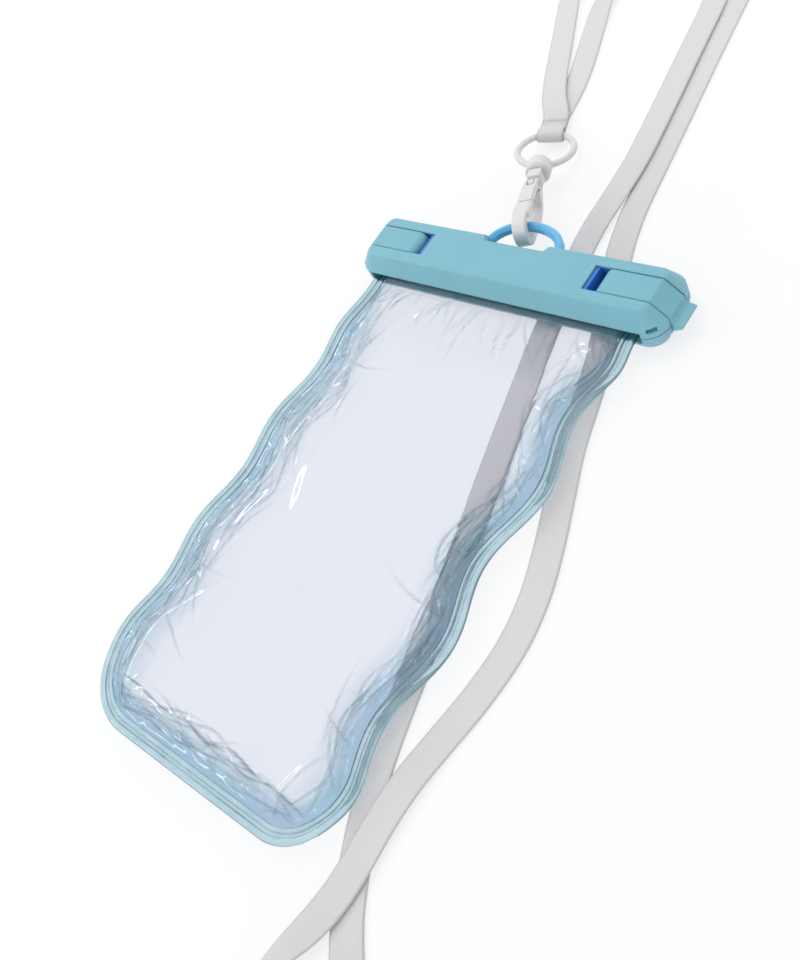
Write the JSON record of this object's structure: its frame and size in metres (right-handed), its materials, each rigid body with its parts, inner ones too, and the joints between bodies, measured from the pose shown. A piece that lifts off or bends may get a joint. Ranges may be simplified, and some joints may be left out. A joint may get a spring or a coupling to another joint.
{
  "type": "waterproof phone case",
  "caption": "Clear soft pouch with a welded rim, closed by a two-bar clamp with hinged end latches, hung on a neck ribbon by a swivel snap hook.",
  "frame": {"origin": "middle of the case's footprint, the neck ribbon and its hook and ring left out, on the surface that the case lies on", "axes": "X along the clamp, +Y from the pouch towards the clamp and the hook, +Z out of the front of the case"},
  "size_m": [0.1784, 0.4703, 0.0177],
  "materials": {
    "turquoise_plastic": "satin moulded, slightly see-through at the edges",
    "blue_plastic": "smooth moulded",
    "white_plastic": "satin moulded",
    "steel_pin": "plain",
    "clear_silicone": "clear soft seal",
    "clear_film": "clear soft film",
    "blue_clear_rim": "clear welded film",
    "woven_ribbon": "flat woven ribbon"
  },
  "bodies": {
    "case": {"front_bar": "turquoise_plastic", "inner_frame": "blue_plastic", "rear_bar": "turquoise_plastic", "left_latch_pin": "steel_pin", "right_latch_pin": "steel_pin", "front_gasket": "clear_silicone", "rear_gasket": "clear_silicone", "front_film": "clear_film", "rear_film": "clear_film", "welded_rim": "blue_clear_rim", "swivel_ring": "white_plastic", "ribbon_end_loop": "woven_ribbon", "neck_ribbon": "woven_ribbon"},
    "left_latch": {"left_latch": "turquoise_plastic"},
    "right_latch": {"right_latch": "turquoise_plastic"},
    "hook": {"snap_hook": "white_plastic", "gate_pin": "steel_pin"},
    "gate": {"hook_gate": "white_plastic"}
  },
  "joints": [
    {"name": "left_latch_hinge", "type": "hinge", "parent": "case", "child": "left_latch", "pos_m": [-0.0415, 0.08805, 0.0132], "axis": [0, 1, 0], "range_deg": [0, 115]},
    {"name": "right_latch_hinge", "type": "hinge", "parent": "case", "child": "right_latch", "pos_m": [0.0415, 0.08805, 0.0132], "axis": [0, -1, 0], "range_deg": [0, 115]},
    {"name": "hook_swivel", "type": "hinge", "parent": "case", "child": "hook", "pos_m": [-0.00238, 0.10099, 0.01606], "axis": [-0.3993, 0.8968, -0.1908], "range_deg": [-20, 20]},
    {"name": "hook_gate_hinge", "type": "hinge", "parent": "hook", "child": "gate", "pos_m": [-0.0135, 0.12596, 0.01151], "axis": [0.9135, 0.4067, 0], "range_deg": [0, 26], "stiffness_Nm_per_rad": 0.03, "springref_deg": -22.92}
  ]
}
